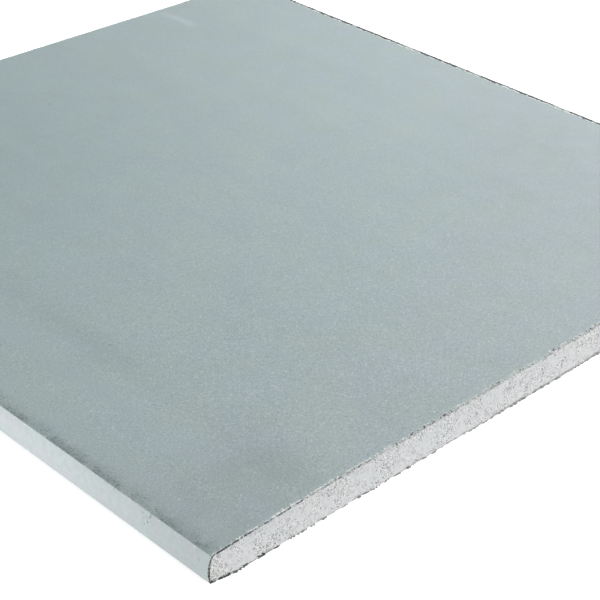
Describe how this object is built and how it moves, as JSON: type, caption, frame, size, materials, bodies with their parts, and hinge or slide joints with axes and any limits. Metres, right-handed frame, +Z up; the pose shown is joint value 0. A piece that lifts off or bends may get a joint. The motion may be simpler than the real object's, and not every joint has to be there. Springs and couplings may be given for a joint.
{
  "type": "drywall sheet",
  "caption": "Flat panel of moisture-resistant gypsum board, paper faced, sawn to size with a tapered factory edge left on; lines walls and ceilings.",
  "frame": {"origin": "middle of the underside, on the surface that the panel lies on", "axes": "+X across the board from the wrapped factory edge to the sawn side, +Y along the factory edge, +Z up through the good face"},
  "size_m": [0.322, 0.33, 0.0125],
  "materials": {
    "gypsum": "matte, sawn and porous",
    "face_paper": "matte, pale grey-green with fine fibre flecks",
    "back_paper": "matte, grey-brown recycled liner"
  },
  "bodies": {
    "root": {"gypsum_core": "gypsum", "face_paper": "face_paper", "back_paper": "back_paper"}
  },
  "joints": []
}
